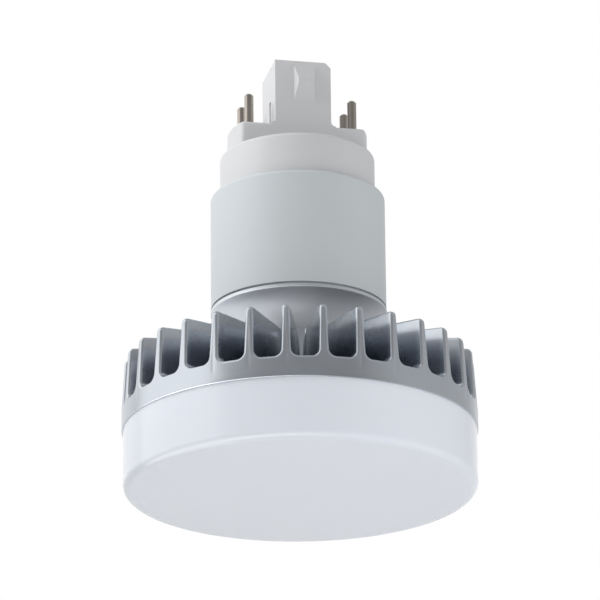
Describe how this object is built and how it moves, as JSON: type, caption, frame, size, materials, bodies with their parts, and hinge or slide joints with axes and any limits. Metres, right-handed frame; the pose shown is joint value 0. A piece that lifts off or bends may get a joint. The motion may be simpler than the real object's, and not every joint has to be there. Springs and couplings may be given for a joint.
{
  "type": "led plug-in lamp",
  "caption": "Flat LED plug-in lamp with a frosted lens, a radially finned cast heat sink, a round driver barrel and a keyed four-pin base.",
  "frame": {"origin": "centre of the flat lens face, which is the lowest face with the base up", "axes": "+Z from the lens to the base along the lamp's axis, +X along the long side of the pin pattern"},
  "size_m": [0.0766, 0.0766, 0.0966],
  "materials": {
    "frosted_lens": "frosted translucent polycarbonate",
    "cast_aluminium": "bare die casting, satin",
    "barrel_plastic": "cool white moulding",
    "cap_plastic": "white moulding",
    "pin_plating": "nickel plated",
    "light_board_mask": "white solder mask on an aluminium core",
    "light_package": "phosphor-filled package",
    "pad_silicone": "grey heat-conducting sheet",
    "connector_nylon": "natural nylon",
    "screw_steel": "zinc plated",
    "circuit_board": "green glass-epoxy board",
    "ferrite": "dark grey ferrite",
    "bobbin_plastic": "black moulding",
    "winding_tape": "yellow tape over copper wire",
    "can_sleeve": "dark shrink sleeve",
    "film_dip": "dipped epoxy",
    "chip_epoxy": "black epoxy",
    "fuse_ceramic": "pale ceramic tube",
    "lead_jacket": "insulated wire"
  },
  "bodies": {
    "root": {"lens": "frosted_lens", "heat_sink": "cast_aluminium", "thermal_pad": "pad_silicone", "led_board": "light_board_mask", "led_packages": "light_package", "led_connector": "connector_nylon", "board_screws": "screw_steel", "driver_housing": "barrel_plastic", "housing_screws": "screw_steel", "driver_board": "circuit_board", "transformer_core": "ferrite", "transformer_bobbin": "bobbin_plastic", "transformer_winding": "winding_tape", "input_capacitor": "can_sleeve", "output_capacitor": "can_sleeve", "film_capacitor": "film_dip", "choke": "ferrite", "fuse": "fuse_ceramic", "bridge_rectifier": "chip_epoxy", "controller_chip": "chip_epoxy", "switch_transistor": "chip_epoxy", "base_cap": "cap_plastic", "contact_pin_1": "pin_plating", "contact_pin_2": "pin_plating", "contact_pin_3": "pin_plating", "contact_pin_4": "pin_plating", "pin_lead_1": "lead_jacket", "pin_lead_2": "lead_jacket", "pin_lead_3": "lead_jacket", "pin_lead_4": "lead_jacket", "led_lead_1": "lead_jacket", "led_lead_2": "lead_jacket"}
  },
  "joints": []
}
